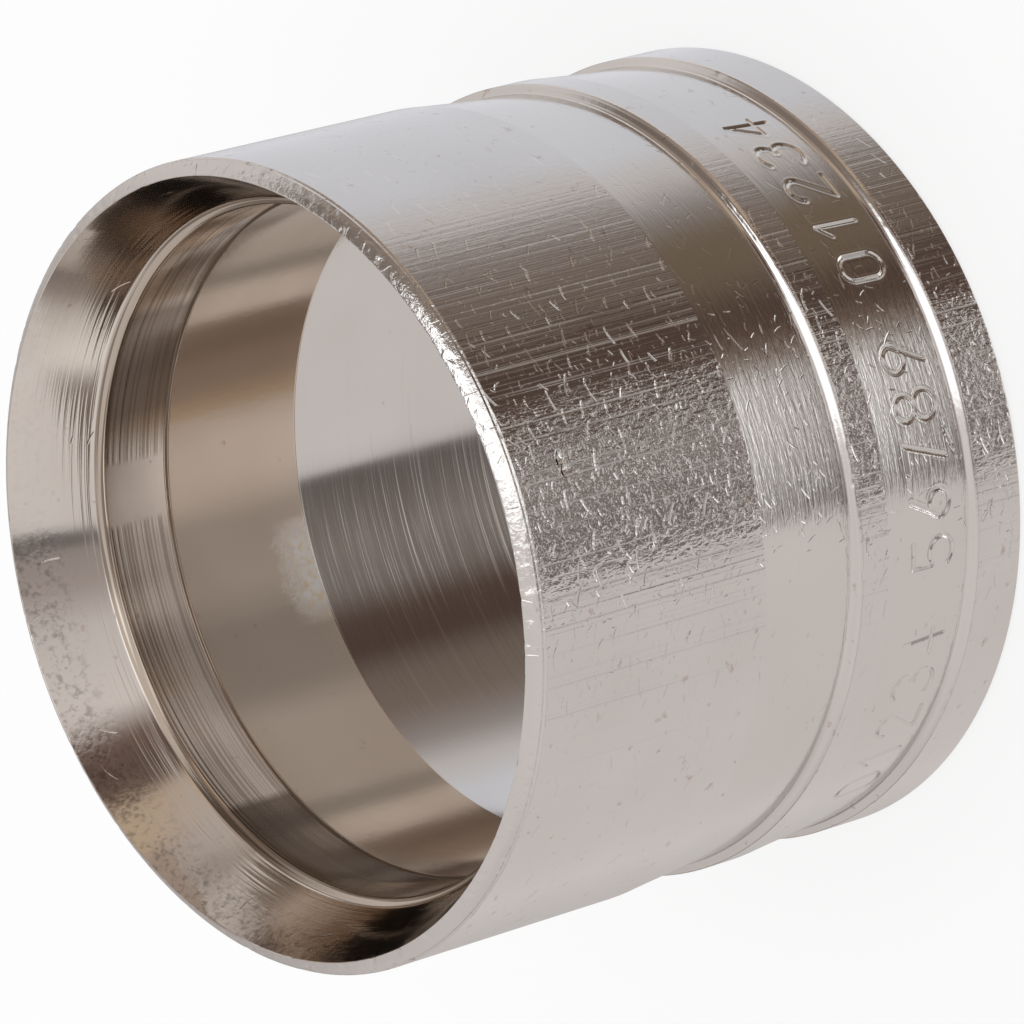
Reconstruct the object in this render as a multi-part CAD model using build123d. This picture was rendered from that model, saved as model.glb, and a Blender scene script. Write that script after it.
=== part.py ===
from build123d import *
import os

# Press sleeve for a 20 mm plastic pipe: one turned piece of brass tube, in millimetres.
# It stands on its rear end face. +Z runs along the bore, from the rear end to the funnel mouth.

# Body: a length of drawn tube
outer_diameter = 25.0
wall_thickness = 1.9
sleeve_length = 19.8

# Outside, from the rear end to the mouth: land, ramped recess, land, ramped recess, long band
rear_edge_break = 0.1
rear_land_length = 1.9
rear_wall_run = 0.18
rear_recess_depth = 0.26
rear_ramp_length = 3.55
middle_land_length = 1.16
front_wall_run = 0.15
front_recess_depth = 0.29
front_ramp_length = 3.75
ramp_hollow = 0.03
crest_break = 0.05

# Rim round the mouth
rim_chamfer_width = 0.21
rim_chamfer_length = 0.2
rim_flat_width = 0.27

# Inside, from the mouth to the rear end: funnel, shoulder, turned land, grip bore, rear bore
funnel_depth = 2.56
shoulder_height = 0.26
shoulder_run = 0.16
shoulder_radius = 0.06
turned_land_cut = 0.07
turned_land_length = 2.46
land_step_run = 0.05
grip_bore_length = 5.2
rear_step_run = 0.04
rear_bore_cut = 0.04
rear_bore_chamfer = 0.25

outer_radius = outer_diameter / 2
rim_outer_radius = outer_radius - rim_chamfer_width
mouth_radius = rim_outer_radius - rim_flat_width
grip_bore_radius = outer_radius - wall_thickness
turned_land_radius = grip_bore_radius + turned_land_cut
rear_bore_radius = grip_bore_radius + rear_bore_cut
funnel_end_radius = turned_land_radius + shoulder_height

# Heights of the inner edges, counted down from the mouth
mouth_height = sleeve_length
funnel_end_height = mouth_height - funnel_depth
turned_land_top = funnel_end_height - shoulder_run
turned_land_bottom = turned_land_top - turned_land_length
grip_bore_top = turned_land_bottom - land_step_run
grip_bore_bottom = grip_bore_top - grip_bore_length
rear_bore_top = grip_bore_bottom - rear_step_run

# Heights of the outer edges, counted up from the rear end
rear_land_top = rear_land_length
rear_recess_floor = rear_land_top + rear_wall_run
middle_land_bottom = rear_recess_floor + rear_ramp_length
middle_land_top = middle_land_bottom + middle_land_length
front_recess_floor = middle_land_top + front_wall_run
front_band_bottom = front_recess_floor + front_ramp_length
rim_chamfer_bottom = mouth_height - rim_chamfer_length


def ramp(low_radius, low_height, high_radius, high_height):
    """Floor of a recess: it rises from the foot of its wall to the drawn surface, a little hollow."""
    middle_radius = (low_radius + high_radius) / 2 - ramp_hollow
    middle_height = (low_height + high_height) / 2
    return ThreePointArc(
        (low_radius, low_height),
        (middle_radius, middle_height),
        (high_radius, high_height),
    )


def corner_at(section, radius, height):
    """The corner of the section at this radius and height."""
    place = Vector(radius, 0, height)
    return section.vertices().sort_by(lambda vertex: (Vector(vertex) - place).length)[0]


def sleeve_section():
    """Half section of the wall, right of the axis."""
    rear_floor_radius = outer_radius - rear_recess_depth
    front_floor_radius = outer_radius - front_recess_depth

    with BuildSketch(Plane.XZ) as section:
        with BuildLine():
            # Bore, from the rear end up to the mouth
            Polyline(
                (rear_bore_radius + rear_bore_chamfer, 0),
                (rear_bore_radius, rear_bore_chamfer),
                (rear_bore_radius, rear_bore_top),
                (grip_bore_radius, grip_bore_bottom),
                (grip_bore_radius, grip_bore_top),
                (turned_land_radius, turned_land_bottom),
                (turned_land_radius, turned_land_top),
                (funnel_end_radius, funnel_end_height),
                (mouth_radius, mouth_height),
                (rim_outer_radius, mouth_height),
                (outer_radius, rim_chamfer_bottom),
                (outer_radius, front_band_bottom),
            )
            # Outside, from the mouth's band down to the rear end
            ramp(front_floor_radius, front_recess_floor, outer_radius, front_band_bottom)
            Polyline(
                (front_floor_radius, front_recess_floor),
                (outer_radius, middle_land_top),
                (outer_radius, middle_land_bottom),
            )
            ramp(rear_floor_radius, rear_recess_floor, outer_radius, middle_land_bottom)
            Polyline(
                (rear_floor_radius, rear_recess_floor),
                (outer_radius, rear_land_top),
                (outer_radius, rear_edge_break),
                (outer_radius - rear_edge_break, 0),
                (rear_bore_radius + rear_bore_chamfer, 0),
            )
        make_face()

    # The crests of the two walls are blunted by the tool, and the shoulder under the funnel is rounded
    profile = section.sketch
    for crest_height in (middle_land_top, rear_land_top):
        profile = chamfer(corner_at(profile, outer_radius, crest_height), crest_break)
    profile = fillet(corner_at(profile, funnel_end_radius, funnel_end_height), shoulder_radius)
    return fillet(corner_at(profile, turned_land_radius, turned_land_top), shoulder_radius)


press_sleeve = revolve(sleeve_section(), Axis.Z)
press_sleeve.label = "press_sleeve"

os.makedirs("parts", exist_ok=True)
export_step(press_sleeve, "parts/press_sleeve.step")
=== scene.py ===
from functools import lru_cache
from math import atan2, ceil, cos, degrees, exp, hypot, pi, radians, sin, tan
from random import Random

import bmesh
import bpy
from mathutils import Matrix, Vector
from mathutils.kdtree import KDTree


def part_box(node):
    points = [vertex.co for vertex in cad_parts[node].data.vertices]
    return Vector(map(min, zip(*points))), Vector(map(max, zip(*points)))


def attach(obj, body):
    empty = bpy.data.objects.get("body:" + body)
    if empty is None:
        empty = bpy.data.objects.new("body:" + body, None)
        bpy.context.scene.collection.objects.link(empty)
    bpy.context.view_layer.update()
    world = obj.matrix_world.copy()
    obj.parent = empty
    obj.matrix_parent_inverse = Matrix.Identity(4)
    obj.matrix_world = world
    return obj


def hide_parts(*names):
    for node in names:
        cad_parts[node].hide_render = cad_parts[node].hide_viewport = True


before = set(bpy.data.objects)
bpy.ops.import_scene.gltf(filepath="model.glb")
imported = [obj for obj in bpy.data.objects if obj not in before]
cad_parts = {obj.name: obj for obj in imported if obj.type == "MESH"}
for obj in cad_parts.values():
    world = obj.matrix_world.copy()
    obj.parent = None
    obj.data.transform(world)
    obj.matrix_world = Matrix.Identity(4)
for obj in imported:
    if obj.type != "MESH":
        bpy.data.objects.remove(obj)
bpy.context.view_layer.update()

bl_info = {
    "name": "Press Sleeve",
    "version": (1, 0, 0),
    "blender": (4, 5, 0),
    "location": "View3D > Sidebar > Sleeve",
    "description": "Models a nickel plated press sleeve and the studio it stands in",
    "category": "Object",
}

MM = 0.001
NODE = "press_sleeve"
LOW_CORNER, HIGH_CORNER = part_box(NODE)
OUTER_DIAMETER = HIGH_CORNER.x - LOW_CORNER.x
LENGTH = HIGH_CORNER.z - LOW_CORNER.z
MARK_TEXT = "01234 56789 01234"
PRESSED = "pressed"

# Mesh: steps round the axis, and rows that lie close where numerals and dents are pressed in
STEPS_ROUND = 180
FINE_ROW = 0.046 * MM
PIT_ROW = 0.03 * MM
# Roundings up to this size get two segments, and larger ones four
SMALL_ROUNDING = 0.025 * MM
# Stretches longer than this get a row this near to each end
HELD_LENGTH = 0.3 * MM
HELD_MARGIN = 0.045 * MM
SHARP_EDGE = radians(35)
# How far the edges of a ring lie inside the true circle, with a tenth to spare
CHORD_SAG = 1.1 * OUTER_DIAMETER / 2 * (1 - cos(pi / STEPS_ROUND))

# Zones round the marks, and the depth below the drawn surface that counts as the outside
MARK_MARGIN = 0.15 * MM
GOUGE_REACH = 0.55 * MM
PIT_REACH = 0.36 * MM
CREST_REACH = 0.12 * MM
OUTSIDE_DEPTH = 0.4 * MM


def mm_size(name, description, value):
    """A size that the user types as a length, with its default in millimetres."""
    return bpy.props.FloatProperty(
        name=name, description=description, default=value * MM, min=0.0, precision=5, unit="LENGTH"
    )


def angle_size(name, description, value):
    """An angle whose default is in degrees."""
    return bpy.props.FloatProperty(
        name=name, description=description, default=radians(value), subtype="ANGLE", unit="ROTATION"
    )


class SleeveSizes(bpy.types.PropertyGroup):
    """Sizes of the turned sleeve."""

    outer_diameter: mm_size("Outer diameter", "Diameter of the drawn tube", OUTER_DIAMETER / MM)
    length: mm_size("Length", "From the rear end to the mouth", LENGTH / MM)
    wall: mm_size("Wall", "Wall of the tube at the grip bore", 1.9)
    edge_break: mm_size("Edge break", "Bevel of the rear end's outer edge", 0.1)
    rear_land: mm_size("Rear land", "Length of the band at the rear end", 1.9)
    rear_wall_run: mm_size("Rear wall run", "Axial run of the rear recess's wall", 0.18)
    rear_depth: mm_size("Rear recess depth", "Depth at the foot of the rear wall", 0.26)
    rear_ramp: mm_size("Rear ramp", "Length of the rear recess's floor", 3.55)
    middle_land: mm_size("Middle land", "Length of the narrow land", 1.16)
    front_wall_run: mm_size("Front wall run", "Axial run of the front recess's wall", 0.15)
    front_depth: mm_size("Front recess depth", "Depth at the foot of the front wall", 0.29)
    front_ramp: mm_size("Front ramp", "Length of the front recess's floor", 3.75)
    ramp_hollow: mm_size("Ramp hollow", "How far a ramp sags below a straight cone", 0.03)
    rim_width: mm_size("Rim width", "Radial width of the worn rim, from the mouth to the outside", 0.48)
    rim_crown: mm_size("Rim crown", "How far the worn rim falls from the mouth to the chamfer", 0.155)
    rim_drop: mm_size("Rim drop", "Axial length of the worn rim and chamfer together", 0.3)
    rim_facet: mm_size("Rim facet", "Height of the upright facet under the chamfer, a dark line", 0.07)
    rim_burr: mm_size("Rim burr", "Width of the burr under that facet, a bright line", 0.05)
    funnel_depth: mm_size("Funnel depth", "Axial depth of the funnel", 2.56)
    shoulder_height: mm_size("Shoulder height", "Radial step under the funnel", 0.26)
    shoulder_run: mm_size("Shoulder run", "Axial run of that step", 0.16)
    turned_land_cut: mm_size("Turned land cut", "How far the turned land is cut into the bore", 0.07)
    turned_land: mm_size("Turned land", "Length of the turned land under the funnel", 2.46)
    step_run: mm_size("Step run", "Axial run of the fine steps in the bore", 0.045)
    grip_bore: mm_size("Grip bore", "Length of the drawn bore", 5.2)
    rear_bore_cut: mm_size("Rear bore cut", "How far the rear bore is cut", 0.04)
    bore_chamfer: mm_size("Bore chamfer", "Chamfer at the far end of the bore", 0.25)


class MarkSizes(bpy.types.PropertyGroup):
    """Sizes of the plain numerals stamped round the rear ramp."""

    height: mm_size("Height", "Height of a numeral", 1.75)
    width: mm_size("Width", "Width of a numeral", 0.86)
    stroke: mm_size("Stroke", "Width of the stamped groove", 0.17)
    depth: mm_size("Depth", "Depth of the stamped groove", 0.045)
    lip: mm_size("Lip", "Height of the metal pushed up beside it", 0.006)
    foot: mm_size("Foot", "Height of the numerals' feet above the rear end", 2.78)
    pitch: angle_size("Pitch", "Angle from one numeral to the next", 7.0)
    start: angle_size("Start", "Angle of the first numeral, from the front towards +X", -65.0)


class WearSizes(bpy.types.PropertyGroup):
    """Knocks on the edges from loose handling in a box of sleeves."""

    seed: bpy.props.IntProperty(name="Seed", description="Where the nicks fall", default=7, min=0)
    rim_nicks: bpy.props.IntProperty(name="Rim nicks", description="Round the mouth", default=420, min=0)
    crest_nicks: bpy.props.IntProperty(name="Crest nicks", description="On each crest", default=40, min=0)
    smallest: mm_size("Smallest nick", "Reach of the smallest nick", 0.07)
    largest: mm_size("Largest nick", "Reach of the largest nick", 0.24)
    rim_depth: mm_size("Rim nick depth", "Depth of the deepest nick in the rim", 0.045)
    crest_depth: mm_size("Crest nick depth", "Depth of the deepest nick in a crest", 0.032)
    pit_height: mm_size("Pit height", "Height of the pit in the long band", 17.64)
    pit_angle: angle_size("Pit angle", "Where the pit lies, from the front towards +X", 3.2)
    gouge_height: mm_size("Gouge height", "Height of the gouge in the rear ramp", 2.52)
    gouge_angle: angle_size("Gouge angle", "Where the gouge lies, from the front towards +X", -7.6)


class StudioSettings(bpy.types.PropertyGroup):
    """The camera's lens and place."""

    lens: bpy.props.FloatProperty(
        name="Lens", description="Focal length in millimetres for a 36 mm wide picture", default=278.2
    )
    distance: mm_size("Distance", "From the camera to its aim", 242.7)
    elevation: angle_size("Elevation", "How steeply the camera looks down", 39.22)
    roll: angle_size("Roll", "How far the camera is turned, so that the mouth points left", -105.43)


def linear_colour(hex_text, strength=1.0):
    """The linear colour, with alpha, of an sRGB hex value."""
    channels = [int(hex_text[i:i + 2], 16) / 255 for i in (1, 3, 5)]
    linear = [c / 12.92 if c <= 0.04045 else ((c + 0.055) / 1.055) ** 2.4 for c in channels]
    return tuple(c * strength for c in linear) + (1.0,)


def add_node(tree, kind, inputs=(), output=0, **settings):
    """Adds a shader node, sets or links its inputs by place or name, and returns one of its outputs."""
    node = tree.nodes.new("ShaderNode" + kind)
    for name, value in settings.items():
        setattr(node, name, value)
    pairs = inputs.items() if isinstance(inputs, dict) else enumerate(inputs)
    for name, value in pairs:
        if isinstance(value, bpy.types.NodeSocket):
            tree.links.new(value, node.inputs[name])
        else:
            node.inputs[name].default_value = value
    return node.outputs[output] if node.outputs else node


# Section of the wall

class Corner:
    """A corner of the half section, with its rounding in millimetres.

    The finish, the spacing of rows in millimetres and the hollow belong to the stretch that follows it.
    """

    def __init__(self, radius, height, finish, rounding=0.0, spacing=0.0, hollow=0.0):
        self.radius = radius
        self.height = height
        self.finish = finish
        self.rounding = rounding * MM
        self.spacing = spacing * MM
        self.hollow = hollow


def section_corners(size):
    """Corners of the half section, from the far end of the bore up to the mouth and down the outside."""
    outer = size.outer_diameter / 2
    mouth = outer - size.rim_width
    grip = outer - size.wall
    land = grip + size.turned_land_cut
    rear = grip + size.rear_bore_cut
    funnel_end = land + size.shoulder_height

    top = size.length
    funnel_foot = top - size.funnel_depth
    land_top = funnel_foot - size.shoulder_run
    land_bottom = land_top - size.turned_land
    grip_top = land_bottom - size.step_run
    grip_bottom = grip_top - size.grip_bore
    rear_top = grip_bottom - size.step_run

    rim_bend = mouth + 0.56 * size.rim_width
    ledge = outer - size.rim_burr
    facet_lean = 0.1 * size.rim_burr
    facet_top = top - size.rim_drop
    facet_foot = facet_top - size.rim_facet
    burr_foot = facet_foot - size.rim_burr

    rear_floor = size.rear_land + size.rear_wall_run
    middle_bottom = rear_floor + size.rear_ramp
    middle_top = middle_bottom + size.middle_land
    front_floor = middle_top + size.front_wall_run
    band_bottom = front_floor + size.front_ramp

    return (
        Corner(rear + size.bore_chamfer, 0.0, "rear_bore", 0.04),
        Corner(rear, size.bore_chamfer, "rear_bore", 0.04, 1.5),
        Corner(rear, rear_top, "fine_step", 0.01),
        Corner(grip, grip_bottom, "grip_bore", 0.01, 1.5),
        Corner(grip, grip_top, "fine_step", 0.02),
        Corner(land, land_bottom, "turned_land", 0.02, 0.8),
        Corner(land, land_top, "shoulder", 0.06),
        Corner(funnel_end, funnel_foot, "funnel", 0.06, 0.8),
        Corner(mouth, top, "rim", 0.012, 0.06),
        Corner(rim_bend, top - size.rim_crown, "rim", 0.08, 0.06),
        Corner(ledge - facet_lean, facet_top, "rim"),
        Corner(ledge, facet_foot, "rim"),
        Corner(outer, burr_foot, "drawn_band", 0.012, 1.2),
        Corner(outer, band_bottom, "ramp", 0.05, 0.3, size.ramp_hollow),
        Corner(outer - size.front_depth, front_floor, "wall", 0.1, 0.06),
        Corner(outer, middle_top, "drawn_band", 0.1, 0.6),
        Corner(outer, middle_bottom, "ramp", 0.05, 0.3, size.ramp_hollow),
        Corner(outer - size.rear_depth, rear_floor, "wall", 0.08, 0.06),
        Corner(outer, size.rear_land, "drawn_band", 0.07, 0.8),
        Corner(outer, size.edge_break, "wall", 0.03),
        Corner(outer - size.edge_break, 0.0, "rear_face", 0.03, 0.6),
    )


def rounded_section(corners):
    """A bmesh with the half section as one face, its corners rounded, the large ones in finer steps."""
    mesh = bmesh.new()
    verts = [mesh.verts.new((corner.radius, 0.0, corner.height)) for corner in corners]
    mesh.faces.new(verts)
    for corner, vert in zip(corners, verts):
        if corner.rounding:
            bmesh.ops.bevel(
                mesh, geom=[vert], offset=corner.rounding, offset_type="OFFSET", affect="VERTICES",
                segments=4 if corner.rounding > SMALL_ROUNDING else 2, profile=0.5, material=-1,
            )
    return mesh


@lru_cache(maxsize=None)
def stretch_at(corners, radius, height):
    """The corner whose stretch passes nearest to this place, and how far along it the place is."""
    best = None
    for corner, after in zip(corners, corners[1:] + corners[:1]):
        run = Vector((after.radius - corner.radius, after.height - corner.height))
        offset = Vector((radius - corner.radius, height - corner.height))
        share = min(1.0, max(0.0, offset.dot(run) / run.length_squared))
        away = (offset - run * share).length
        if best is None or away < best[0]:
            best = (away, corner, share)
    return best[1:]


def place_in_section(co):
    """Radius and height to the nearest micrometre, so that a whole ring of vertices shares them."""
    return round(hypot(co.x, co.y), 6), round(co.z, 6)


def divide_edges(mesh, spacing_of):
    """Divides each edge of the section into pieces no longer than its own spacing."""
    for edge in list(mesh.edges):
        middle = (edge.verts[0].co + edge.verts[1].co) / 2
        spacing = spacing_of(middle)
        if spacing and edge.calc_length() > spacing:
            cuts = ceil(edge.calc_length() / spacing) - 1
            bmesh.ops.subdivide_edges(mesh, edges=[edge], cuts=cuts)


def hold_ends(mesh, least, margin):
    """Adds a row close to both ends of each long stretch, so that it is shaded evenly up to its ends."""
    for edge in list(mesh.edges):
        length = edge.calc_length()
        if length > least:
            first, last = (vert.co.copy() for vert in edge.verts)
            made = bmesh.ops.subdivide_edges(mesh, edges=[edge], cuts=2)
            inner = [item for item in made["geom_inner"] if isinstance(item, bmesh.types.BMVert)]
            inner.sort(key=lambda vert: (vert.co - first).length)
            inner[0].co = first.lerp(last, margin / length)
            inner[1].co = last.lerp(first, margin / length)


def divide_section(mesh, corners, fine_zones):
    """Divides the stretches into rows, finely where marks and dents come, and hollows the ramps."""
    outside = corners[0].radius + MM

    def coarse_spacing(middle):
        return stretch_at(corners, *place_in_section(middle))[0].spacing

    def fine_spacing(middle):
        rows = [row for low, high, row in fine_zones if low < middle.z < high and middle.x > outside]
        return min(rows, default=0.0)

    hold_ends(mesh, HELD_LENGTH, HELD_MARGIN)
    divide_edges(mesh, coarse_spacing)
    divide_edges(mesh, fine_spacing)
    for vert in mesh.verts:
        corner, share = stretch_at(corners, *place_in_section(vert.co))
        vert.co.x -= 4 * corner.hollow * share * (1 - share)


# Work on the spun mesh

def settle_order(mesh):
    """Puts edges and faces in a fixed order and way round, because spin's own changes from run to run."""
    mesh.verts.index_update()
    count = len(mesh.verts)

    def rank(item):
        indices = [vert.index for vert in item.verts]
        return min(indices) * count + max(indices)

    mesh.edges.sort(key=rank)
    mesh.faces.sort(key=rank)
    data = bpy.data.meshes.new("spun")
    mesh.to_mesh(data)
    for edge in data.edges:
        edge.vertices = sorted(edge.vertices)
    mesh.clear()
    mesh.from_mesh(data)
    bpy.data.meshes.remove(data)


def front_angle(co):
    """Angle round the axis, from the side that faces the camera towards +X."""
    return atan2(co.x, -co.y)


def divide_rings(mesh, low, high, least_radius, first, last, cuts):
    """Divides the edges that run round the axis in a zone, and moves the new vertices out to the circle."""
    edges = []
    for edge in mesh.edges:
        a, b = edge.verts
        middle = (a.co + b.co) / 2
        level = abs(a.co.z - b.co.z) < 1e-7 and abs(a.co.xy.length - b.co.xy.length) < 1e-7
        if level and low < middle.z < high and middle.xy.length > least_radius:
            if first < front_angle(middle) < last:
                edges.append(edge)
    rows = {}
    for edge in edges:
        co = edge.verts[0].co
        rows.setdefault(round(co.z, 7), set()).add(co.xy.length)
    bmesh.ops.subdivide_edges(mesh, edges=edges, cuts=cuts, use_grid_fill=True)
    for vert in mesh.verts:
        radius = vert.co.xy.length
        for true_radius in rows.get(round(vert.co.z, 7), ()):
            if 0 < true_radius - radius < CHORD_SAG:
                vert.co.xy *= true_radius / radius
                break


def push_in(mesh, low, high, least_radius, depth_at, full_depth=0.0):
    """Moves the outside in by a depth that depends on angle and height, and notes where it was pressed.

    From half the full depth on, it counts as wholly pressed.
    """
    pressed = mesh.verts.layers.float.get(PRESSED) or mesh.verts.layers.float.new(PRESSED)
    for vert in mesh.verts:
        radius = vert.co.xy.length
        if low < vert.co.z < high and radius > least_radius:
            depth = depth_at(front_angle(vert.co), vert.co.z)
            vert.co.xy *= 1 - depth / radius
            if full_depth:
                vert[pressed] = min(1.0, max(0.0, 2 * depth / full_depth))


# Numerals: each stroke is a straight line or an arc in a cell one unit high

def line(x0, y0, x1, y1):
    """Distance function of a straight stroke."""
    run_x = x1 - x0
    run_y = y1 - y0

    def distance(x, y):
        share = ((x - x0) * run_x + (y - y0) * run_y) / (run_x ** 2 + run_y ** 2)
        share = min(1.0, max(0.0, share))
        return hypot(x - x0 - run_x * share, y - y0 - run_y * share)

    return distance


def arc(x0, y0, radius, start, sweep):
    """Distance function of a round stroke, with its angles in degrees, anticlockwise from the right."""
    ends = [radians(start), radians(start + sweep)]

    def distance(x, y):
        turn = (degrees(atan2(y - y0, x - x0)) - start) % 360.0
        if turn <= sweep:
            return abs(hypot(x - x0, y - y0) - radius)
        return min(hypot(x - x0 - radius * cos(end), y - y0 - radius * sin(end)) for end in ends)

    return distance


def numeral_strokes(width):
    """The ten numerals, centred on x = 0 and one unit high, for a cell of this width."""
    half = width / 2
    head_bowl = 0.26
    foot_bowl = 0.29
    eight_head = 0.235
    eight_foot = 0.265
    high = 1.0 - head_bowl
    low = foot_bowl
    tail = 35
    whole_turn = 359
    return {
        "0": [
            arc(0, 1 - half, half, 0, 180),
            arc(0, half, half, 180, 180),
            line(-half, half, -half, 1 - half),
            line(half, half, half, 1 - half),
        ],
        "1": [line(0.05, 0, 0.05, 1), line(0.05, 1, -half * 0.75, 0.72)],
        "2": [
            arc(0, 1 - half, half, -tail, 180 + tail),
            line(half * cos(radians(tail)), 1 - half - half * sin(radians(tail)), -half, 0),
            line(-half, 0, half, 0),
        ],
        "3": [arc(0, high, head_bowl, -70, 215), arc(0, low, foot_bowl, -145, 215)],
        "4": [
            line(half * 0.4, 0, half * 0.4, 1),
            line(half * 0.4, 1, -half, 0.3),
            line(-half, 0.3, half, 0.3),
        ],
        "5": [
            line(half, 1, -half * 0.8, 1),
            line(-half * 0.8, 1, -half * 0.9, 0.5),
            arc(-0.02, low, foot_bowl, -140, 250),
        ],
        "6": [arc(0, low, half, 0, whole_turn), line(-half, low, half * 0.45, 1)],
        "7": [line(-half, 1, half, 1), line(half, 1, -half * 0.4, 0)],
        "8": [
            arc(0, 1 - eight_head, eight_head, 0, whole_turn),
            arc(0, eight_foot, eight_foot, 0, whole_turn),
        ],
        "9": [arc(0, 1 - low, half, 0, whole_turn), line(half, 1 - low, -half * 0.45, 0)],
    }


def ridge(away, place, width):
    """Share of its height that a ridge of pushed-up metal has at a distance from the dent's middle."""
    return exp(-(((away - place) / width) ** 2))


def mark_depth(size, mark):
    """A function that gives the depth of the stamped numerals at an angle and height."""
    strokes = numeral_strokes(mark.width / mark.height)
    cell_width = mark.pitch * size.outer_diameter / 2 / mark.height
    reach = mark.stroke / mark.height

    def depth_at(angle, height):
        place = (angle - mark.start) / mark.pitch
        index = round(place)
        y = (height - mark.foot) / mark.height
        if not 0 <= index < len(MARK_TEXT) or MARK_TEXT[index] == " " or not -reach < y < 1 + reach:
            return 0.0
        x = (place - index) * cell_width
        away = min(stroke(x, y) for stroke in strokes[MARK_TEXT[index]]) / reach
        groove = mark.depth * max(0.0, 1 - 2 * away)
        return groove - mark.lip * ridge(away, place=0.72, width=0.2)

    return depth_at


def dent_depth(size, angle, height, length, width, turn, depth, power=2):
    """A function that gives the depth of one oval dent, with the metal that it pushed up round it."""
    radius = size.outer_diameter / 2
    pushed_up = 0.22

    def depth_at(at_angle, at_height):
        across = (at_angle - angle) * radius
        up = at_height - height
        along = (across * cos(turn) + up * sin(turn)) / (length / 2)
        beside = (up * cos(turn) - across * sin(turn)) / (width / 2)
        away = hypot(along, beside)
        return depth * (max(0.0, 1 - away ** power) - pushed_up * ridge(away, place=1.15, width=0.25))

    return depth_at


def nick_edge(mesh, wear, random, low, high, least_radius, count, deepest):
    """Seeded nicks on the metal between two heights: each pushes a small oval of it in.

    Most are small. An edge below 1 gives a nick a steep edge and a flat floor.
    """
    mostly_small = 2.5
    lightest = 0.25
    most_slender = 2.2
    edge = 0.7
    mesh.normal_update()
    verts = [v for v in mesh.verts if low < v.co.z <= high and v.co.xy.length > least_radius]
    nearby = KDTree(len(verts))
    for index, vert in enumerate(verts):
        nearby.insert(vert.co, index)
    nearby.balance()
    depths = {}
    for _ in range(count):
        centre = random.choice(verts)
        reach = wear.smallest + (wear.largest - wear.smallest) * random.random() ** mostly_small
        depth = deepest * random.uniform(lightest, 1.0) * reach / wear.largest
        along = Vector((random.gauss(0, 1), random.gauss(0, 1), random.gauss(0, 1)))
        along = (along - centre.normal * along.dot(centre.normal)).normalized()
        slenderness = random.uniform(1.0, most_slender)
        for co, index, _ in nearby.find_range(centre.co, reach):
            offset = co - centre.co
            run = offset.dot(along)
            side = (offset - along * run).length * slenderness
            share = 1 - hypot(run, side) / reach
            if share > 0:
                depths[index] = max(depths.get(index, 0.0), depth * share ** edge)
    for index, depth in depths.items():
        verts[index].co -= verts[index].normal * depth


def mark_zone(mark):
    """Heights between which the numerals lie."""
    return mark.foot - MARK_MARGIN, mark.foot + mark.height + MARK_MARGIN


def gouge_zone(mark):
    """Heights of the finely divided stretch under the numerals that the gouge cuts into."""
    return mark.foot - GOUGE_REACH, mark.foot - MARK_MARGIN


def pit_zone(wear):
    """Heights between which the pit lies."""
    return wear.pit_height - PIT_REACH, wear.pit_height + PIT_REACH


def stamp_numerals(mesh, size, mark, outside):
    """Stamps the row of numerals round the rear ramp."""
    low, high = mark_zone(mark)
    end = mark.start + mark.pitch * (len(MARK_TEXT) - 1)
    margin = 0.6 * mark.pitch
    divide_rings(mesh, low, high, outside, mark.start - margin, end + margin, cuts=9)
    push_in(mesh, low, high, outside, mark_depth(size, mark), mark.depth)


def cut_gouge(mesh, size, mark, wear, outside):
    """Cuts the gouge that runs into the foot of the numerals."""
    low, high = gouge_zone(mark)
    margin = radians(5)
    divide_rings(mesh, low, high, outside, wear.gouge_angle - margin, wear.gouge_angle + margin, cuts=8)
    gouge = dent_depth(
        size, wear.gouge_angle, wear.gouge_height,
        length=1.05 * MM, width=0.16 * MM, turn=radians(20), depth=0.05 * MM,
    )
    push_in(mesh, low, mark_zone(mark)[1], outside, gouge)


def punch_pit(mesh, size, wear, outside):
    """Punches the pit: two slanting notches side by side, the right one a little higher and longer."""
    low, high = pit_zone(wear)
    margin = radians(3)
    divide_rings(mesh, low, high, outside, wear.pit_angle - margin, wear.pit_angle + margin, cuts=8)
    aside = radians(0.85)
    higher = 0.03 * MM
    notches = [
        dent_depth(
            size, wear.pit_angle + side * aside, wear.pit_height + side * higher, length,
            width=0.25 * MM, turn=radians(-20), depth=0.115 * MM, power=1,
        )
        for side, length in ((-1, 0.5 * MM), (1, 0.58 * MM))
    ]

    def pit(angle, height):
        return max(notch(angle, height) for notch in notches)

    push_in(mesh, low, high, outside, pit, full_depth=0.16 * MM)


def nick_rim_and_crests(mesh, size, wear, outside):
    """Nicks the rim round the mouth, and the crests of the two walls where they face the camera."""
    random = Random(wear.seed)
    margin = 0.01 * MM
    rim_foot = size.length - size.rim_drop - size.rim_facet - size.rim_burr - margin
    mouth = size.outer_diameter / 2 - size.rim_width - 2 * margin
    divide_rings(mesh, rim_foot, size.length + MM, mouth, -pi, pi, cuts=5)
    nick_edge(mesh, wear, random, rim_foot, size.length, mouth, wear.rim_nicks, wear.rim_depth)
    seen = radians(100)
    front_crest = size.rear_land + size.rear_wall_run + size.rear_ramp + size.middle_land
    for crest in (front_crest, size.rear_land):
        low = crest - CREST_REACH
        high = crest + CREST_REACH
        divide_rings(mesh, low, high, outside, -seen, seen, cuts=4)
        nick_edge(mesh, wear, random, low, high, outside, wear.crest_nicks, wear.crest_depth)


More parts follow.
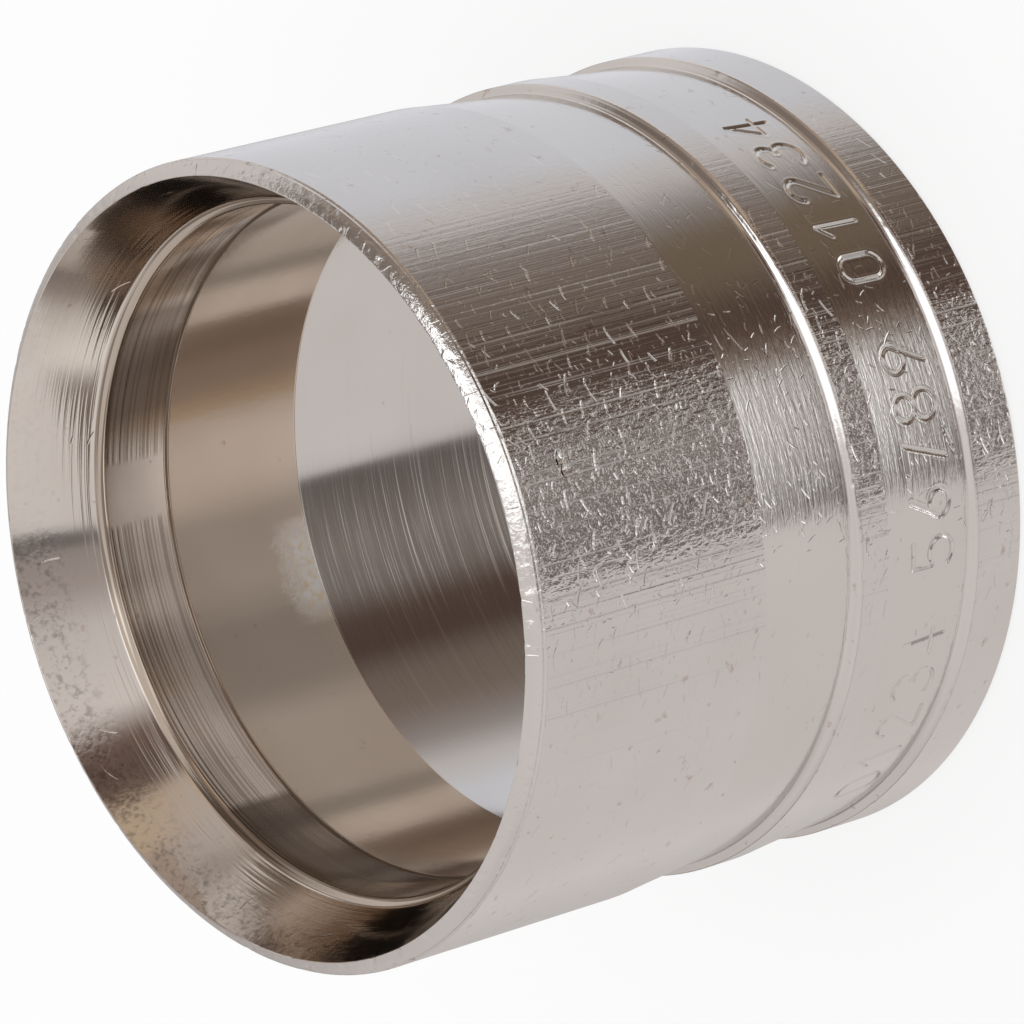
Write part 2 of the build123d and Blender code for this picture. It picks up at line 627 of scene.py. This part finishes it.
class SLEEVE_OT_body(bpy.types.Operator):
    """Spins the sleeve from its half section, then stamps, nicks and finishes it"""

    bl_idname = "sleeve.body"
    bl_label = "Sleeve body"

    def execute(self, context):
        size = context.scene.sleeve_sizes
        mark = context.scene.sleeve_marks
        wear = context.scene.sleeve_wear
        corners = section_corners(size)
        mesh = rounded_section(corners)
        fine_zones = (
            (*mark_zone(mark), FINE_ROW), (*gouge_zone(mark), FINE_ROW), (*pit_zone(wear), PIT_ROW),
        )
        divide_section(mesh, corners, fine_zones)
        bmesh.ops.delete(mesh, geom=list(mesh.faces), context="FACES_ONLY")
        bmesh.ops.spin(
            mesh, geom=list(mesh.verts) + list(mesh.edges), cent=(0, 0, 0), axis=(0, 0, 1),
            angle=2 * pi, steps=STEPS_ROUND, use_merge=True,
        )
        bmesh.ops.recalc_face_normals(mesh, faces=list(mesh.faces))
        settle_order(mesh)
        outside = size.outer_diameter / 2 - OUTSIDE_DEPTH
        stamp_numerals(mesh, size, mark, outside)
        cut_gouge(mesh, size, mark, wear, outside)
        punch_pit(mesh, size, wear, outside)
        nick_rim_and_crests(mesh, size, wear, outside)
        finishes = list(FINISHES)
        for face in mesh.faces:
            corner, _ = stretch_at(corners, *place_in_section(face.calc_center_median()))
            face.material_index = finishes.index(corner.finish)
            face.smooth = True
        for edge in mesh.edges:
            edge.smooth = edge.calc_face_angle(0.0) < SHARP_EDGE
        data = bpy.data.meshes.new("sleeve_body")
        mesh.to_mesh(data)
        mesh.free()
        body = bpy.data.objects.new("sleeve_body", data)
        context.scene.collection.objects.link(body)
        for finish in finishes:
            data.materials.append(FINISHES[finish]())
        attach(body, "root")
        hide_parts(NODE)
        return {"FINISHED"}


# Finishes. Patterns are in millimetres on the real surface.

def turn_from_front(tree, x, y):
    """Angle round the axis, from the side that faces the camera towards +X."""
    backwards = add_node(tree, "Math", (y, -1.0), operation="MULTIPLY")
    return add_node(tree, "Math", (x, backwards), operation="ARCTAN2")


class Nickel:
    """A nickel plated metal: its material, its shader, and the places that its patterns follow.

    With the mouth up, x runs to the right, y away from the front and z up from the rear end. around is
    the way round the wall from the front, to the right.
    """

    def __init__(self, name, roughness, bright="#D9D6D4", dim="#D1CECB", spots=0.68):
        self.material = bpy.data.materials.new(name)
        self.material.use_nodes = True
        self.tree = self.material.node_tree
        self.shader = self.tree.nodes["Principled BSDF"]
        self.shader.inputs["Metallic"].default_value = 1.0
        place = add_node(self.tree, "TexCoord", output="Object")
        self.solid = add_node(self.tree, "VectorMath", {0: place, "Scale": 1 / MM}, operation="SCALE")
        self.x, self.y, self.z = add_node(self.tree, "SeparateXYZ", (self.solid,)).node.outputs
        turn = turn_from_front(self.tree, self.x, self.y)
        self.around = add_node(self.tree, "Math", (turn, OUTER_DIAMETER / 2 / MM), operation="MULTIPLY")
        self.unrolled = add_node(self.tree, "CombineXYZ", (self.around, self.z, 0.0))
        clouds = self.grain((4.0, 4.0, 4.0), detail=1.0, shift=17.0)
        tones = {0: clouds, 6: linear_colour(bright), 7: linear_colour(dim)}
        self.colour = add_node(self.tree, "Mix", tones, output=2, data_type="RGBA")
        patches = self.grain((0.5, 0.5, 0.4), shift=5.0)
        self.stain(add_node(self.tree, "MapRange", (patches, spots, spots + 0.1, 0.0, 0.5)), "#A98F82")
        cloudy = (clouds, 0.3, 0.7, roughness * 0.8, roughness * 1.25)
        self.roughness = add_node(self.tree, "MapRange", cloudy)

    def grain(self, sizes, detail=2.0, shift=0.0, place=None):
        """Noise from 0 to 1 whose grains have these sizes along x, y and z."""
        place = self.solid if place is None else place
        apart = (shift, shift * 1.7, shift * 0.6)
        moved = add_node(self.tree, "VectorMath", (place, apart), operation="ADD")
        scaled = add_node(self.tree, "VectorMath", (moved, sizes), operation="DIVIDE")
        noise = {"Vector": scaled, "Scale": 1.0, "Detail": detail, "Roughness": 0.6}
        return add_node(self.tree, "TexNoise", noise)

    def die_lines(self, spacing, width, depth):
        """Grooves straight along the axis, as a drawing die leaves them: some deep, all fading in places."""
        tree = self.tree
        cells = {"W": self.around, "Scale": 1 / spacing}
        lines = add_node(tree, "TexVoronoi", cells, voronoi_dimensions="1D").node.outputs
        groove = add_node(tree, "MapRange", (lines["Distance"], 0.0, width / 2 / spacing, -depth, 0.0))
        luck = add_node(tree, "SeparateColor", (lines["Color"],), output="Red")
        strength = add_node(tree, "MapRange", (luck, 0.0, 1.0, 0.25, 1.0))
        patches = self.grain((0.8, 5.0, 1.0), detail=1.0, shift=31.0, place=self.unrolled)
        fading = add_node(tree, "MapRange", (patches, 0.35, 0.6, 0.4, 1.0))
        for factor in (strength, fading):
            groove = add_node(tree, "Math", (groove, factor), operation="MULTIPLY")
        return groove

    def scratches(self, cell, length, width, depth, share, spread, shift, place=None):
        """Fine V grooves, a little bowed, in a share of the cells of this size, one to a cell.

        They are turned from the way round by up to half the spread, in degrees.
        """
        bow = 0.3 / length
        shortest = 0.15 * length
        longest = 0.5 * length
        run_out = 0.12 * length
        faintest = 0.15
        tree = self.tree
        place = self.unrolled if place is None else place
        moved = add_node(tree, "VectorMath", (place, (shift, shift, 0.0)), operation="ADD")
        grid = {"Vector": moved, "Scale": 1 / cell}
        cells = add_node(tree, "TexVoronoi", grid, voronoi_dimensions="2D").node.outputs
        luck = add_node(tree, "SeparateColor", (cells["Color"],)).node.outputs
        offset = add_node(tree, "VectorMath", (moved, cells["Position"]), operation="SUBTRACT")
        turn = add_node(tree, "MapRange", (luck["Red"], 0.0, 1.0, -radians(spread) / 2, radians(spread) / 2))
        turned = add_node(tree, "VectorRotate", {"Vector": offset, "Angle": turn}, rotation_type="Z_AXIS")
        sides = add_node(tree, "SeparateXYZ", (turned,)).node.outputs
        squared = add_node(tree, "Math", (sides["X"], sides["X"]), operation="MULTIPLY")
        bowed = add_node(tree, "Math", (squared, bow, sides["Y"]), operation="MULTIPLY_ADD")
        along = add_node(tree, "Math", (sides["X"],), operation="ABSOLUTE")
        beside = add_node(tree, "Math", (bowed,), operation="ABSOLUTE")
        half_length = add_node(tree, "MapRange", (luck["Green"], 0.0, 1.0, shortest, longest))
        left = add_node(tree, "Math", (half_length, along), operation="SUBTRACT")
        run = add_node(tree, "MapRange", (left, 0.0, run_out, 0.0, 1.0))
        groove = add_node(tree, "MapRange", (beside, 0.0, width / 2, -depth, 0.0))
        strength = add_node(tree, "MapRange", (luck["Blue"], 0.0, share, 1.0, faintest))
        present = add_node(tree, "Math", (luck["Blue"], share), operation="LESS_THAN")
        for factor in (run, strength, present):
            groove = add_node(tree, "Math", (groove, factor), operation="MULTIPLY")
        return groove

    def handling_scratches(self, strength):
        """The scratches that loose sleeves give each other: a few long ones, and many short ones."""
        return self.heights(
            (self.scratches(0.75, 0.8, 0.095, 0.028, 0.7, 60, 3.0), strength),
            (self.scratches(0.45, 0.42, 0.07, 0.013, 0.6, 90, 11.0), strength),
            (self.scratches(0.27, 0.25, 0.055, 0.008, 0.5, 180, 23.0), strength),
        )

    def heights(self, *terms):
        """Adds up heights: a term is a height, or a pattern with its height and the masks that it has."""
        total = 0.0
        for term in terms:
            pattern, height, *masks = term if isinstance(term, tuple) else (term, 1.0)
            for mask in masks:
                pattern = add_node(self.tree, "Math", (pattern, mask), operation="MULTIPLY")
            total = add_node(self.tree, "Math", (pattern, height, total), operation="MULTIPLY_ADD")
        return total

    def stretch(self, place, middle, near, far, inside, outside):
        """One value on a stretch either side of its middle, and another beyond it."""
        offset = add_node(self.tree, "Math", (place, -middle), operation="ADD")
        away = add_node(self.tree, "Math", (offset,), operation="ABSOLUTE")
        return add_node(self.tree, "MapRange", (away, near, far, inside, outside))

    def handled(self, near, far, least):
        """1 on the side that lay against other sleeves, and less beyond it."""
        return self.stretch(self.around, 0.0, near, far, 1.0, least)

    def stain(self, amount, hex_text, mask=None):
        """Changes the metal's colour where the amount and the mask are 1."""
        if mask is not None:
            amount = add_node(self.tree, "Math", (amount, mask), operation="MULTIPLY")
        colours = {0: amount, 6: self.colour, 7: linear_colour(hex_text)}
        self.colour = add_node(self.tree, "Mix", colours, output=2, data_type="RGBA")

    def dull(self, amount, added):
        """Roughens the metal where the amount is 1. Torn metal in a scratch scatters light all round."""
        self.roughness = add_node(
            self.tree, "Math", (amount, added, self.roughness), operation="MULTIPLY_ADD", use_clamp=True
        )

    def relief(self, *terms, lean=0.0):
        """Bump from heights. Feed marks with one steep side lean the surface to the mouth, in degrees."""
        tree = self.tree
        normal = add_node(tree, "NewGeometry", output="Normal")
        leaning = add_node(tree, "VectorMath", (normal, (0.0, 0.0, tan(radians(lean)))), operation="ADD")
        level = add_node(tree, "VectorMath", (leaning,), operation="NORMALIZE")
        height = self.heights(*terms)
        bump = add_node(tree, "Bump", {"Strength": 1.0, "Distance": MM, "Height": height, "Normal": level})
        tree.links.new(bump, self.shader.inputs["Normal"])
        tree.links.new(self.roughness, self.shader.inputs["Roughness"])
        tree.links.new(self.colour, self.shader.inputs["Base Color"])
        return self.material


def drawn_band():
    """Bands that keep the drawn tube's skin: die lines along the axis under many handling scratches."""
    nickel = Nickel("nickel_on_drawn_brass", 0.1, spots=0.66)
    tree = nickel.tree
    lined = nickel.handled(5.5, 10.5, 0.2)
    right_side = add_node(tree, "MapRange", (nickel.around, 1.8, 3.0, 0.5, 1.0))
    finely_lined = add_node(tree, "Math", (lined, right_side), operation="MULTIPLY")
    fine_lines = nickel.die_lines(0.15, 0.055, 0.0045)
    wide_lines = nickel.die_lines(0.55, 0.1, 0.006)
    lines = nickel.heights((fine_lines, finely_lined), (wide_lines, lined))
    nickel.dull(add_node(tree, "MapRange", (lines, -0.0005, -0.004, 0.0, 1.0)), 0.32)
    nickel.dull(nickel.handled(3.0, 7.0, 0.1), 0.04)
    # Painted shade: the pit's sides that face away from the mouth are coloured near black, in place of the
    # shade inside the pit
    pressed = add_node(tree, "Attribute", output="Fac", attribute_name=PRESSED)
    pit_painted_shade = add_node(tree, "MapRange", (pressed, 0.1, 0.35, 0.0, 1.0))
    facing = add_node(tree, "SeparateXYZ", (add_node(tree, "NewGeometry", output="Normal"),), output="Z")
    nickel.stain(pit_painted_shade, "#2A2420", add_node(tree, "MapRange", (facing, 0.15, -0.1, 0.0, 1.0)))
    streaks = nickel.grain((0.12, 0.12, 7.0), shift=9.0)
    mottle = nickel.grain((0.2, 0.2, 0.3), shift=4.0)
    return nickel.relief(
        lines,
        nickel.handling_scratches(nickel.handled(3.0, 8.0, 0.25)),
        (streaks, 0.009, finely_lined),
        (mottle, 0.036, nickel.handled(2.45, 3.1, 0.15)),
    )


def ramp():
    """Recess floors: turning marks in broken streaks, coarse where handled, and smooth in the numerals."""
    nickel = Nickel("nickel_on_coarse_turned_brass", 0.1, bright="#D8D6D3", dim="#D1CECB")
    pressed = add_node(nickel.tree, "Attribute", output="Fac", attribute_name=PRESSED)
    free = add_node(nickel.tree, "Math", (1.0, pressed), operation="SUBTRACT")
    rough = add_node(nickel.tree, "Math", (nickel.handled(3.0, 5.5, 0.3), free), operation="MULTIPLY")
    return nickel.relief(
        (nickel.scratches(0.8, 0.8, 0.07, 0.011, 0.45, 100, 11.0), rough),
        (nickel.scratches(0.4, 0.4, 0.06, 0.009, 0.5, 180, 23.0), rough),
        (nickel.grain((1.0, 1.0, 0.13), detail=3.0), 0.019, rough),
    )


def wall():
    """Walls between the bands: short, nearly polished steps with small knocks."""
    nickel = Nickel("nickel_on_step_walls", 0.12)
    return nickel.relief((nickel.grain((0.5, 0.5, 0.25), detail=3.0), 0.006))


def rim():
    """Rim round the mouth: beaten by handling into small facets, with fine scratches all ways."""
    nickel = Nickel("nickel_on_beaten_rim", 0.14)
    return nickel.relief(
        (nickel.grain((0.22, 0.22, 0.14), detail=3.0), 0.022),
        nickel.scratches(0.4, 0.4, 0.05, 0.008, 0.7, 180, 23.0),
    )


def funnel():
    """Funnel: finely turned, with rings that deepen towards its foot and a grainy, matter plating above."""
    nickel = Nickel("nickel_on_fine_turned_brass", 0.1, bright="#DDD8D3", dim="#D5CFC9")
    tree = nickel.tree
    foot = (LENGTH - 2.6 * MM) / MM
    near_foot = add_node(tree, "MapRange", (nickel.z, foot, foot + 1.5, 1.0, 0.15))
    near_mouth = add_node(tree, "MapRange", (nickel.z, foot + 0.8, foot + 1.8, 0.0, 1.0))
    left_side = add_node(tree, "MapRange", (nickel.x, 3.1, 2.3, 0.12, 1.0))
    grainy = add_node(tree, "Math", (near_mouth, left_side), operation="MULTIPLY")
    grains = nickel.grain((0.22, 0.22, 0.2), shift=6.0)
    nickel.stain(add_node(tree, "MapRange", (grains, 0.5, 0.68, 0.0, 0.5)), "#7E7775", grainy)
    nickel.dull(near_mouth, 0.02)
    return nickel.relief(
        (nickel.grain((8.0, 8.0, 0.12)), 0.01, near_foot),
        (grains, 0.006, grainy),
        nickel.scratches(1.6, 0.9, 0.07, 0.007, 0.4, 180, 3.0),
    )


def shoulder():
    """Shoulder under the funnel: cut by a coarse tool into fine rings that glint one by one."""
    nickel = Nickel("nickel_on_ringed_shoulder", 0.16, bright="#C6BCB2", dim="#B8ADA1")
    rings = nickel.grain((9.0, 9.0, 0.07), detail=1.0)
    nickel.stain(add_node(nickel.tree, "MapRange", (rings, 0.45, 0.55, 0.0, 0.8)), "#75685C")
    return nickel.relief((rings, 0.03))


def fine_step():
    """Fine steps in the bore: coloured dark brown, painted shade, so that they read as a dark line."""
    # Painted shade: the dark brown colours stand in for the shade on the step
    nickel = Nickel("nickel_painted_shade_on_step", 0.5, bright="#75685C", dim="#5F5348")
    return nickel.relief((nickel.grain((0.3, 0.3, 0.1), shift=6.0), 0.006))


def turned_land():
    """Land under the funnel: fine feed marks whose steep sides face away from the mouth, with painted shade
    on two sides and a painted lift of its brightness.
    """
    # Painted light: the base colour is paler than the other nickel, so that the land's reflection comes out
    # brighter
    nickel = Nickel("nickel_on_leaning_feed_marks", 0.08, bright="#F2EAE2", dim="#E8DED4")
    tree = nickel.tree
    painted_shade_colour = "#85786C"
    smooth_middle = 3.45
    rings = nickel.grain((14.0, 14.0, 0.09), detail=1.0)
    ringed = nickel.stretch(nickel.x, smooth_middle, 0.85, 1.05, 0.0, 1.0)
    nickel.stain(add_node(tree, "MapRange", (rings, 0.46, 0.6, 0.0, 0.6)), "#A8998B", ringed)
    # Painted shadow: a sharp-edged dark brown bar across the land beyond x = -6.7 mm
    nickel.stain(add_node(tree, "MapRange", (nickel.x, -6.7, -6.95, 0.0, 0.88)), painted_shade_colour)
    # Painted shade: the land darkened between x = 4.5 and 8.8 mm
    from_here = add_node(tree, "MapRange", (nickel.x, 4.5, 5.8, 0.0, 0.7))
    up_to_here = add_node(tree, "MapRange", (nickel.x, 8.5, 8.8, 1.0, 0.0))
    nickel.stain(from_here, painted_shade_colour, up_to_here)
    return nickel.relief((rings, 0.0025, ringed), lean=8.2)


def grip_bore():
    """Grip bore: the same leaning marks, too fine to see singly, and a painted reflection: a white, matt
    patch with golden blotches low on the far side.
    """
    nickel = Nickel("nickel_on_grip_bore", 0.1, bright="#DED2C6", dim="#D2C4B5")
    tree = nickel.tree
    reflection_middle = -0.35
    flakes = nickel.grain((0.5, 0.5, 0.7), detail=3.0, shift=2.0)
    ragged = add_node(tree, "Math", (flakes, 1.2, nickel.z), operation="MULTIPLY_ADD")
    low_down = add_node(tree, "MapRange", (ragged, 10.6, 11.5, 1.0, 0.0))
    near = nickel.stretch(nickel.x, reflection_middle, 0.9, 1.8, 1.0, 0.0)
    far_side = add_node(tree, "MapRange", (nickel.y, 5.0, 6.0, 0.0, 1.0))
    beside = add_node(tree, "Math", (low_down, near), operation="MULTIPLY")
    painted_reflection = add_node(tree, "Math", (beside, far_side), operation="MULTIPLY")
    blotches = nickel.grain((0.25, 0.25, 0.25), shift=7.0)
    # Painted reflection: the patch is coloured white with golden blotches, in place of a reflected glint
    nickel.stain(painted_reflection, "#FFFFFF")
    nickel.stain(painted_reflection, "#F7E4C0", add_node(tree, "MapRange", (blotches, 0.4, 0.7, 0.0, 0.8)))
    nickel.dull(painted_reflection, 0.38)
    return nickel.relief(
        (nickel.grain((0.6, 0.6, 8.0)), 0.0015),
        (nickel.grain((0.25, 0.25, 0.2), detail=3.0, shift=6.0), 0.0015),
        (blotches, 0.012, painted_reflection),
        lean=8.1,
    )


def rear_bore():
    """Rear bore: turned with a worn tool, in uneven rings that glint one by one."""
    nickel = Nickel("nickel_on_turned_bore", 0.12, spots=0.75)
    return nickel.relief((nickel.grain((16.0, 16.0, 0.32), detail=3.0), 0.017))


def rear_face():
    """Sawn and faced end that the sleeve stands on: concentric marks."""
    nickel = Nickel("nickel_on_faced_end", 0.16)
    distance = add_node(nickel.tree, "VectorMath", (nickel.solid,), output="Value", operation="LENGTH")
    noise = {"W": distance, "Scale": 9.0, "Detail": 3.0}
    return nickel.relief(
        (add_node(nickel.tree, "TexNoise", noise, noise_dimensions="1D"), 0.004),
        nickel.scratches(1.0, 1.0, 0.08, 0.008, 0.5, 180, 3.0, place=nickel.solid),
    )


# The names that the section's stretches give
FINISHES = {
    finish.__name__: finish for finish in (
        drawn_band, ramp, wall, rim, funnel, shoulder, fine_step, turned_land, grip_bore, rear_bore,
        rear_face,
    )
}


# Studio. Each list goes once round the horizon: degrees from the front towards +X, colour, strength.

LIGHT_GAIN = 4.0
WHITE = (1.0, 1.0, 1.0, 1.0)
PAPER = "#E6E0DD"
DAYLIGHT = "#E6E7ED"
LAMP = "#FFFFFF"
TAN = "#AFA5A1"
GOLD = "#CCB79F"
BROWN = "#80736A"
OCHRE = "#80705F"
GREY = "#6C635E"
UMBER = "#4E3F38"

STUDIO_NADIR = [
    (-180, PAPER, 0.8), (-60, PAPER, 0.95), (-30, PAPER, 1.0), (-24, LAMP, 1.7), (17, LAMP, 1.7),
    (28, OCHRE, 1.0), (64, OCHRE, 1.2), (84, PAPER, 0.85), (102, DAYLIGHT, 0.97), (180, PAPER, 0.8),
]
STUDIO_BELOW = [
    (-180, PAPER, 0.72), (-132, PAPER, 0.92), (-34, PAPER, 0.98), (-27, PAPER, 0.92), (-26, UMBER, 1.3),
    (-24, PAPER, 0.5), (0, PAPER, 0.9), (14, PAPER, 0.84), (22, BROWN, 1.5), (29, UMBER, 1.7),
    (37, UMBER, 1.3), (50, OCHRE, 0.88), (64, OCHRE, 0.95), (74, TAN, 0.75), (87, PAPER, 0.83),
    (102, DAYLIGHT, 0.97), (180, DAYLIGHT, 1.0),
]
STUDIO_LOW = [
    (-180, PAPER, 0.65), (-160, PAPER, 0.75), (-132, PAPER, 0.97), (-34, PAPER, 0.97), (-27, PAPER, 0.9),
    (-25.5, GREY, 0.9), (0, GREY, 1.6), (14, GREY, 1.4), (24, UMBER, 1.25), (36, UMBER, 1.2),
    (46, BROWN, 0.88), (60, BROWN, 1.05), (74, TAN, 0.85), (86, PAPER, 0.85), (102, DAYLIGHT, 0.97),
    (160, DAYLIGHT, 1.0), (180, PAPER, 0.65),
]
STUDIO_EYE = [
    (-180, PAPER, 0.74), (-155, PAPER, 0.5), (-115, PAPER, 0.53), (-95, PAPER, 0.8), (-34, PAPER, 0.82),
    (-27, PAPER, 0.52), (-16, PAPER, 0.6), (-10, PAPER, 1.15), (12, PAPER, 1.15), (18, BROWN, 1.5),
    (36, BROWN, 1.3), (50, BROWN, 1.7), (66, BROWN, 1.95), (78, GOLD, 1.0), (92, PAPER, 1.08),
    (104, PAPER, 1.22), (122, PAPER, 1.22), (138, PAPER, 1.0), (150, PAPER, 0.7), (180, PAPER, 0.74),
]
STUDIO_HORIZON = [
    (-180, TAN, 1.0), (-150, PAPER, 0.86), (-132, PAPER, 0.92), (-95, PAPER, 0.9), (-72, PAPER, 1.04),
    (-27, PAPER, 0.97), (-26, TAN, 0.38), (-22, TAN, 0.4), (-21, TAN, 0.84), (-10, TAN, 1.0),
    (2, PAPER, 0.86), (27, PAPER, 1.04), (36, UMBER, 2.3), (45, UMBER, 1.6), (52, UMBER, 1.75),
    (56, GOLD, 0.98), (68, GOLD, 0.98), (72, BROWN, 2.0), (84, BROWN, 1.9), (105, BROWN, 1.6),
    (114, PAPER, 0.85), (126, PAPER, 1.03), (150, PAPER, 0.98), (180, TAN, 1.0),
]
STUDIO_RAISED = [
    (-180, PAPER, 0.88), (-130, PAPER, 0.98), (-44, PAPER, 1.04), (-26, PAPER, 0.9), (-14, PAPER, 0.85),
    (-4, LAMP, 1.5), (34, LAMP, 1.5), (48, TAN, 0.95), (58, BROWN, 1.35), (112, BROWN, 1.1),
    (127, BROWN, 0.8), (135, PAPER, 0.92), (180, PAPER, 0.88),
]
STUDIO_HIGH = [
    (-180, PAPER, 0.9), (-130, PAPER, 1.0), (-60, PAPER, 1.0), (-30, PAPER, 1.1), (-14, PAPER, 1.1),
    (-4, LAMP, 1.8), (90, LAMP, 1.9), (100, BROWN, 0.85), (128, BROWN, 0.8), (138, DAYLIGHT, 0.92),
    (180, DAYLIGHT, 0.95),
]
STUDIO = (
    STUDIO_NADIR, STUDIO_BELOW, STUDIO_LOW, STUDIO_EYE, STUDIO_HORIZON, STUDIO_RAISED, STUDIO_HIGH,
)
# The edges of the panels lean, by up to PANEL_LEAN degrees within PANEL_REACH degrees of PANEL_HEIGHT, so
# that the tool marks on an upright wall don't break them up
PANEL_HEIGHT = -39.0
PANEL_REACH = 6.0
PANEL_LEAN = 4.9
# Elevations in degrees between which each list gives way to the next
STUDIO_TURNS = (
    (-64.0, -57.0), (-45.5, -41.5), (-35.0, -27.0), (-17.0, -8.0), (28.0, 42.0), (56.5, 59.0),
)


def azimuth_ramp(tree, azimuth, stops):
    """Colour of the studio round the horizon."""
    colour = add_node(tree, "ValToRGB", (azimuth,))
    elements = colour.node.color_ramp.elements
    elements.remove(elements[1])
    for index, (angle, hex_text, strength) in enumerate(stops):
        element = elements[0] if index == 0 else elements.new(1.0)
        element.position = (angle + 180) / 360
        element.color = linear_colour(hex_text, strength / LIGHT_GAIN)
    return colour


def build_world(context):
    """A white studio for the camera and soft light, with the tent, gaps and lamps that metal reflects."""
    world = bpy.data.worlds.new("studio")
    context.scene.world = world
    world.use_nodes = True
    tree = world.node_tree
    tree.nodes.clear()
    direction = add_node(tree, "TexCoord", output="Generated")
    x, y, z = add_node(tree, "SeparateXYZ", (direction,)).node.outputs
    turn = turn_from_front(tree, x, y)
    rise = add_node(tree, "Math", (z,), operation="ARCSINE")
    elevation = add_node(tree, "Math", (rise,), operation="DEGREES")
    lean = radians(PANEL_LEAN)
    lean_range = (elevation, PANEL_HEIGHT - PANEL_REACH, PANEL_HEIGHT + PANEL_REACH, -lean, lean)
    leaning = add_node(tree, "MapRange", lean_range)
    half_turn = add_node(tree, "Math", (turn, 0.5), operation="MULTIPLY")
    aside = add_node(tree, "Math", (half_turn,), operation="SINE")
    sheared = add_node(tree, "Math", (leaning, aside, turn), operation="MULTIPLY_ADD")
    azimuth = add_node(tree, "Math", (sheared, 1 / (2 * pi), 0.5), operation="MULTIPLY_ADD")
    colour = azimuth_ramp(tree, azimuth, STUDIO[0])
    for (low, high), stops in zip(STUDIO_TURNS, STUDIO[1:]):
        share = add_node(tree, "MapRange", (elevation, low, high, 0.0, 1.0), interpolation_type="SMOOTHSTEP")
        above = azimuth_ramp(tree, azimuth, stops)
        colour = add_node(tree, "Mix", {0: share, 6: colour, 7: above}, output=2, data_type="RGBA")
    reflected = add_node(tree, "Background", (colour, LIGHT_GAIN))
    plain = add_node(tree, "Background", (WHITE, 1.0))
    glossy = add_node(tree, "LightPath", output="Is Glossy Ray")
    shown = add_node(tree, "MixShader", (glossy, plain, reflected))
    add_node(tree, "OutputWorld", (shown,))


def build_floor(context):
    """A pale floor: nearly white for the camera, and it keeps the sleeve's soft shadow."""
    half_side = 3.0
    just_under = 0.02 * MM
    camera_white = 0.75
    mesh = bmesh.new()
    bmesh.ops.create_grid(mesh, x_segments=1, y_segments=1, size=half_side)
    bmesh.ops.translate(mesh, verts=list(mesh.verts), vec=(0, 0, -just_under))
    data = bpy.data.meshes.new("floor")
    mesh.to_mesh(data)
    mesh.free()
    floor = bpy.data.objects.new("floor", data)
    context.scene.collection.objects.link(floor)
    floor.visible_glossy = False
    material = bpy.data.materials.new("white_sweep")
    material.use_nodes = True
    tree = material.node_tree
    tree.nodes.clear()
    matt = add_node(tree, "BsdfDiffuse", (linear_colour("#FAFAFA"),))
    glow = add_node(tree, "Emission", (WHITE, 1.0))
    camera_ray = add_node(tree, "LightPath", output="Is Camera Ray")
    share = add_node(tree, "Math", (camera_ray, camera_white), operation="MULTIPLY")
    shown = add_node(tree, "MixShader", (share, matt, glow))
    add_node(tree, "OutputMaterial", (shown,))
    data.materials.append(material)


def build_camera(context):
    """The camera, at the photograph's angle."""
    settings = context.scene.sleeve_studio
    data = bpy.data.cameras.new("camera")
    data.lens = settings.lens
    data.sensor_width = 36.0
    data.clip_start = 10 * MM
    camera = bpy.data.objects.new("camera", data)
    context.scene.collection.objects.link(camera)
    aim = Vector((-0.3 * MM, 0.0, 9.7 * MM))
    to_the_right = 0.0012
    towards = Vector((to_the_right, -cos(settings.elevation), sin(settings.elevation)))
    upright = towards.to_track_quat("Z", "Y").to_matrix().to_4x4()
    rolled = upright @ Matrix.Rotation(settings.roll, 4, "Z")
    camera.matrix_world = Matrix.Translation(aim + towards * settings.distance) @ rolled
    context.scene.camera = camera


class SLEEVE_OT_stage(bpy.types.Operator):
    """Builds the floor, the studio's light and the camera"""

    bl_idname = "sleeve.stage"
    bl_label = "Studio"

    def execute(self, context):
        build_world(context)
        build_floor(context)
        build_camera(context)
        context.scene.view_settings.view_transform = "Standard"
        return {"FINISHED"}


class SLEEVE_PT_panel(bpy.types.Panel):
    """Buttons for the sleeve and its studio"""

    bl_idname = "SLEEVE_PT_panel"
    bl_label = "Press Sleeve"
    bl_space_type = "VIEW_3D"
    bl_region_type = "UI"
    bl_category = "Sleeve"

    def draw(self, context):
        for operator in OPERATORS:
            self.layout.operator(operator.bl_idname)


OPERATORS = (SLEEVE_OT_body, SLEEVE_OT_stage)
GROUPS = {
    "sleeve_sizes": SleeveSizes,
    "sleeve_marks": MarkSizes,
    "sleeve_wear": WearSizes,
    "sleeve_studio": StudioSettings,
}


def register():
    for name, group in GROUPS.items():
        bpy.utils.register_class(group)
        setattr(bpy.types.Scene, name, bpy.props.PointerProperty(type=group))
    for operator in OPERATORS:
        bpy.utils.register_class(operator)
    bpy.utils.register_class(SLEEVE_PT_panel)


def unregister():
    bpy.utils.unregister_class(SLEEVE_PT_panel)
    for operator in reversed(OPERATORS):
        bpy.utils.unregister_class(operator)
    for name, group in GROUPS.items():
        delattr(bpy.types.Scene, name)
        bpy.utils.unregister_class(group)


def main():
    register()
    bpy.ops.sleeve.body()
    bpy.ops.sleeve.stage()


if __name__ == "__main__":
    main()
